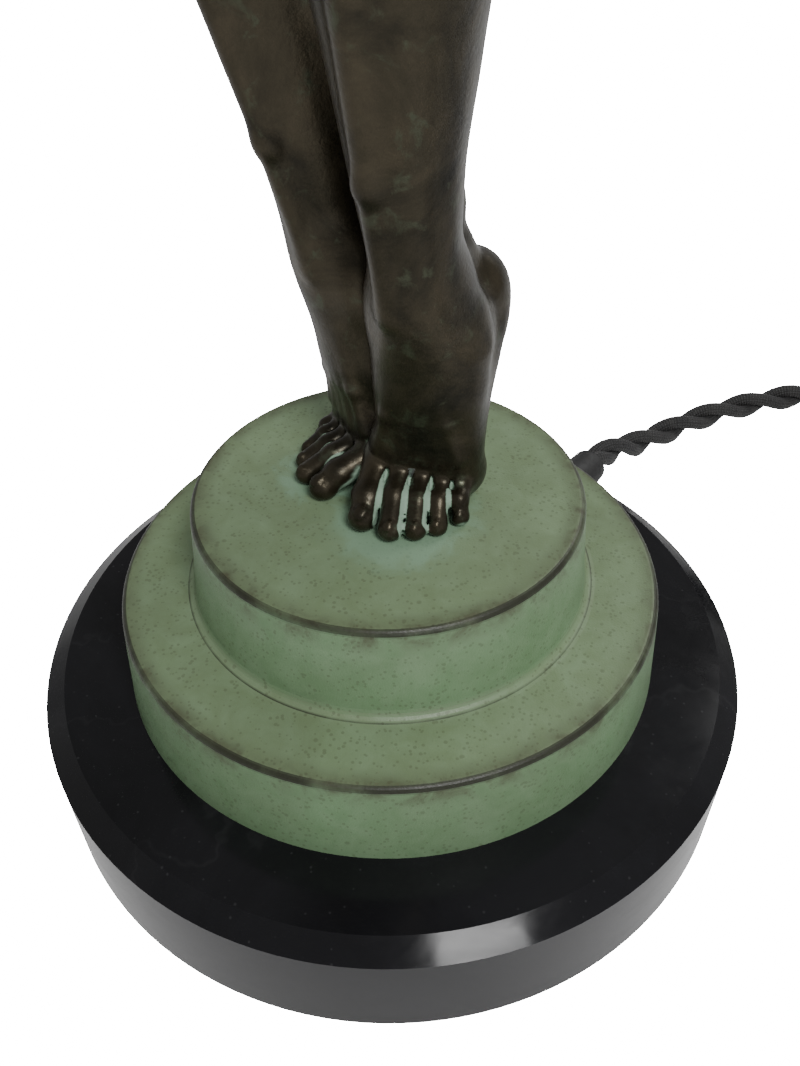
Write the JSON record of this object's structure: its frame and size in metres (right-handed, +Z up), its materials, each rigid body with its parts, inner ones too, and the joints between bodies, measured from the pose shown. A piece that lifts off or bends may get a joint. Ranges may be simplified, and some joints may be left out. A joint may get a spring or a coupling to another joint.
{
  "type": "figural uplight table lamp",
  "caption": "Figural torchere table lamp: a draped bronze dancer on tiptoe on a stepped patina base and black stone plinth lifts a flared glass uplight.",
  "frame": {"origin": "bottom centre of the felt pad under the round plinth, on the table", "axes": "+Z up through the plinth and the torch; the figure faces -Y; the lead leaves the plinth at +Y"},
  "size_m": [0.2726, 0.3454, 0.688],
  "materials": {
    "felt": "matte felt",
    "black_marble": "polished",
    "verdigris": "green patina, satin",
    "dark_bronze": "dark brown patina, satin",
    "draped_bronze": "brown and green patina, satin",
    "zinc_steel": "zinc plated",
    "plain_brass": "satin",
    "black_resin": "gloss",
    "white_porcelain": "glazed",
    "pearl_glass": "frosted",
    "filament": "amber coated strips on a glass stem",
    "opal_glass": "satin opal",
    "black_rubber": "matte",
    "lead_sheath": "matte",
    "braided_textile": "twisted pair, woven cover",
    "paper_wrap": "matte"
  },
  "bodies": {
    "lamp": {"felt_pad": "felt", "plinth": "black_marble", "tier_casting": "verdigris", "base_bolts": "zinc_steel", "base_washers": "zinc_steel", "left_foot_stud": "zinc_steel", "right_foot_stud": "zinc_steel", "foot_nuts": "zinc_steel", "legs_casting": "dark_bronze", "body_casting": "draped_bronze", "head_casting": "dark_bronze", "left_arm_casting": "dark_bronze", "right_arm_casting": "dark_bronze", "casting_dowels": "zinc_steel", "torch_stem": "dark_bronze", "torch_ring": "verdigris", "threaded_tube": "plain_brass", "tube_nut": "plain_brass", "shade_holder": "dark_bronze", "lampholder_cap": "black_resin", "lampholder_shell": "black_resin", "lampholder_core": "white_porcelain", "screw_sleeve": "plain_brass", "centre_contact": "plain_brass", "bulb_cap": "zinc_steel", "bulb_envelope": "pearl_glass", "bulb_filament": "filament", "glass_shade": "opal_glass", "inner_lead": "lead_sheath", "terminal_block": "white_porcelain", "terminal_screws": "plain_brass", "cord_clamp": "zinc_steel", "clamp_screws": "zinc_steel", "cord_tail": "braided_textile", "cord_sleeve": "black_rubber", "cord_run": "braided_textile", "switch_lower": "black_resin", "switch_upper": "black_resin", "switch_contacts": "plain_brass", "switch_screws": "zinc_steel", "cord_lead": "braided_textile", "cord_coil": "braided_textile", "coil_ties": "paper_wrap", "cord_end": "braided_textile", "plug_cover": "black_resin", "plug_body": "black_resin", "plug_pins": "plain_brass", "plug_screw": "zinc_steel"},
    "rocker": {"switch_rocker": "black_resin"},
    "thumbscrew_back_body": {"thumbscrew_back": "plain_brass"},
    "thumbscrew_right_body": {"thumbscrew_right": "plain_brass"},
    "thumbscrew_left_body": {"thumbscrew_left": "plain_brass"}
  },
  "joints": [
    {"name": "rocker_press", "type": "hinge", "parent": "lamp", "child": "rocker", "pos_m": [0.07528, 0.21921, 0.0125], "axis": [-0.6428, 0.766, 0], "range_deg": [0, 16]},
    {"name": "thumbscrew_back_travel", "type": "slide", "parent": "lamp", "child": "thumbscrew_back_body", "axis": [0, 1, 0], "range_m": [0, 0.003]},
    {"name": "thumbscrew_right_travel", "type": "slide", "parent": "lamp", "child": "thumbscrew_right_body", "axis": [-0.866, -0.5, 0], "range_m": [0, 0.003]},
    {"name": "thumbscrew_left_travel", "type": "slide", "parent": "lamp", "child": "thumbscrew_left_body", "axis": [0.866, -0.5, 0], "range_m": [0, 0.003]}
  ]
}
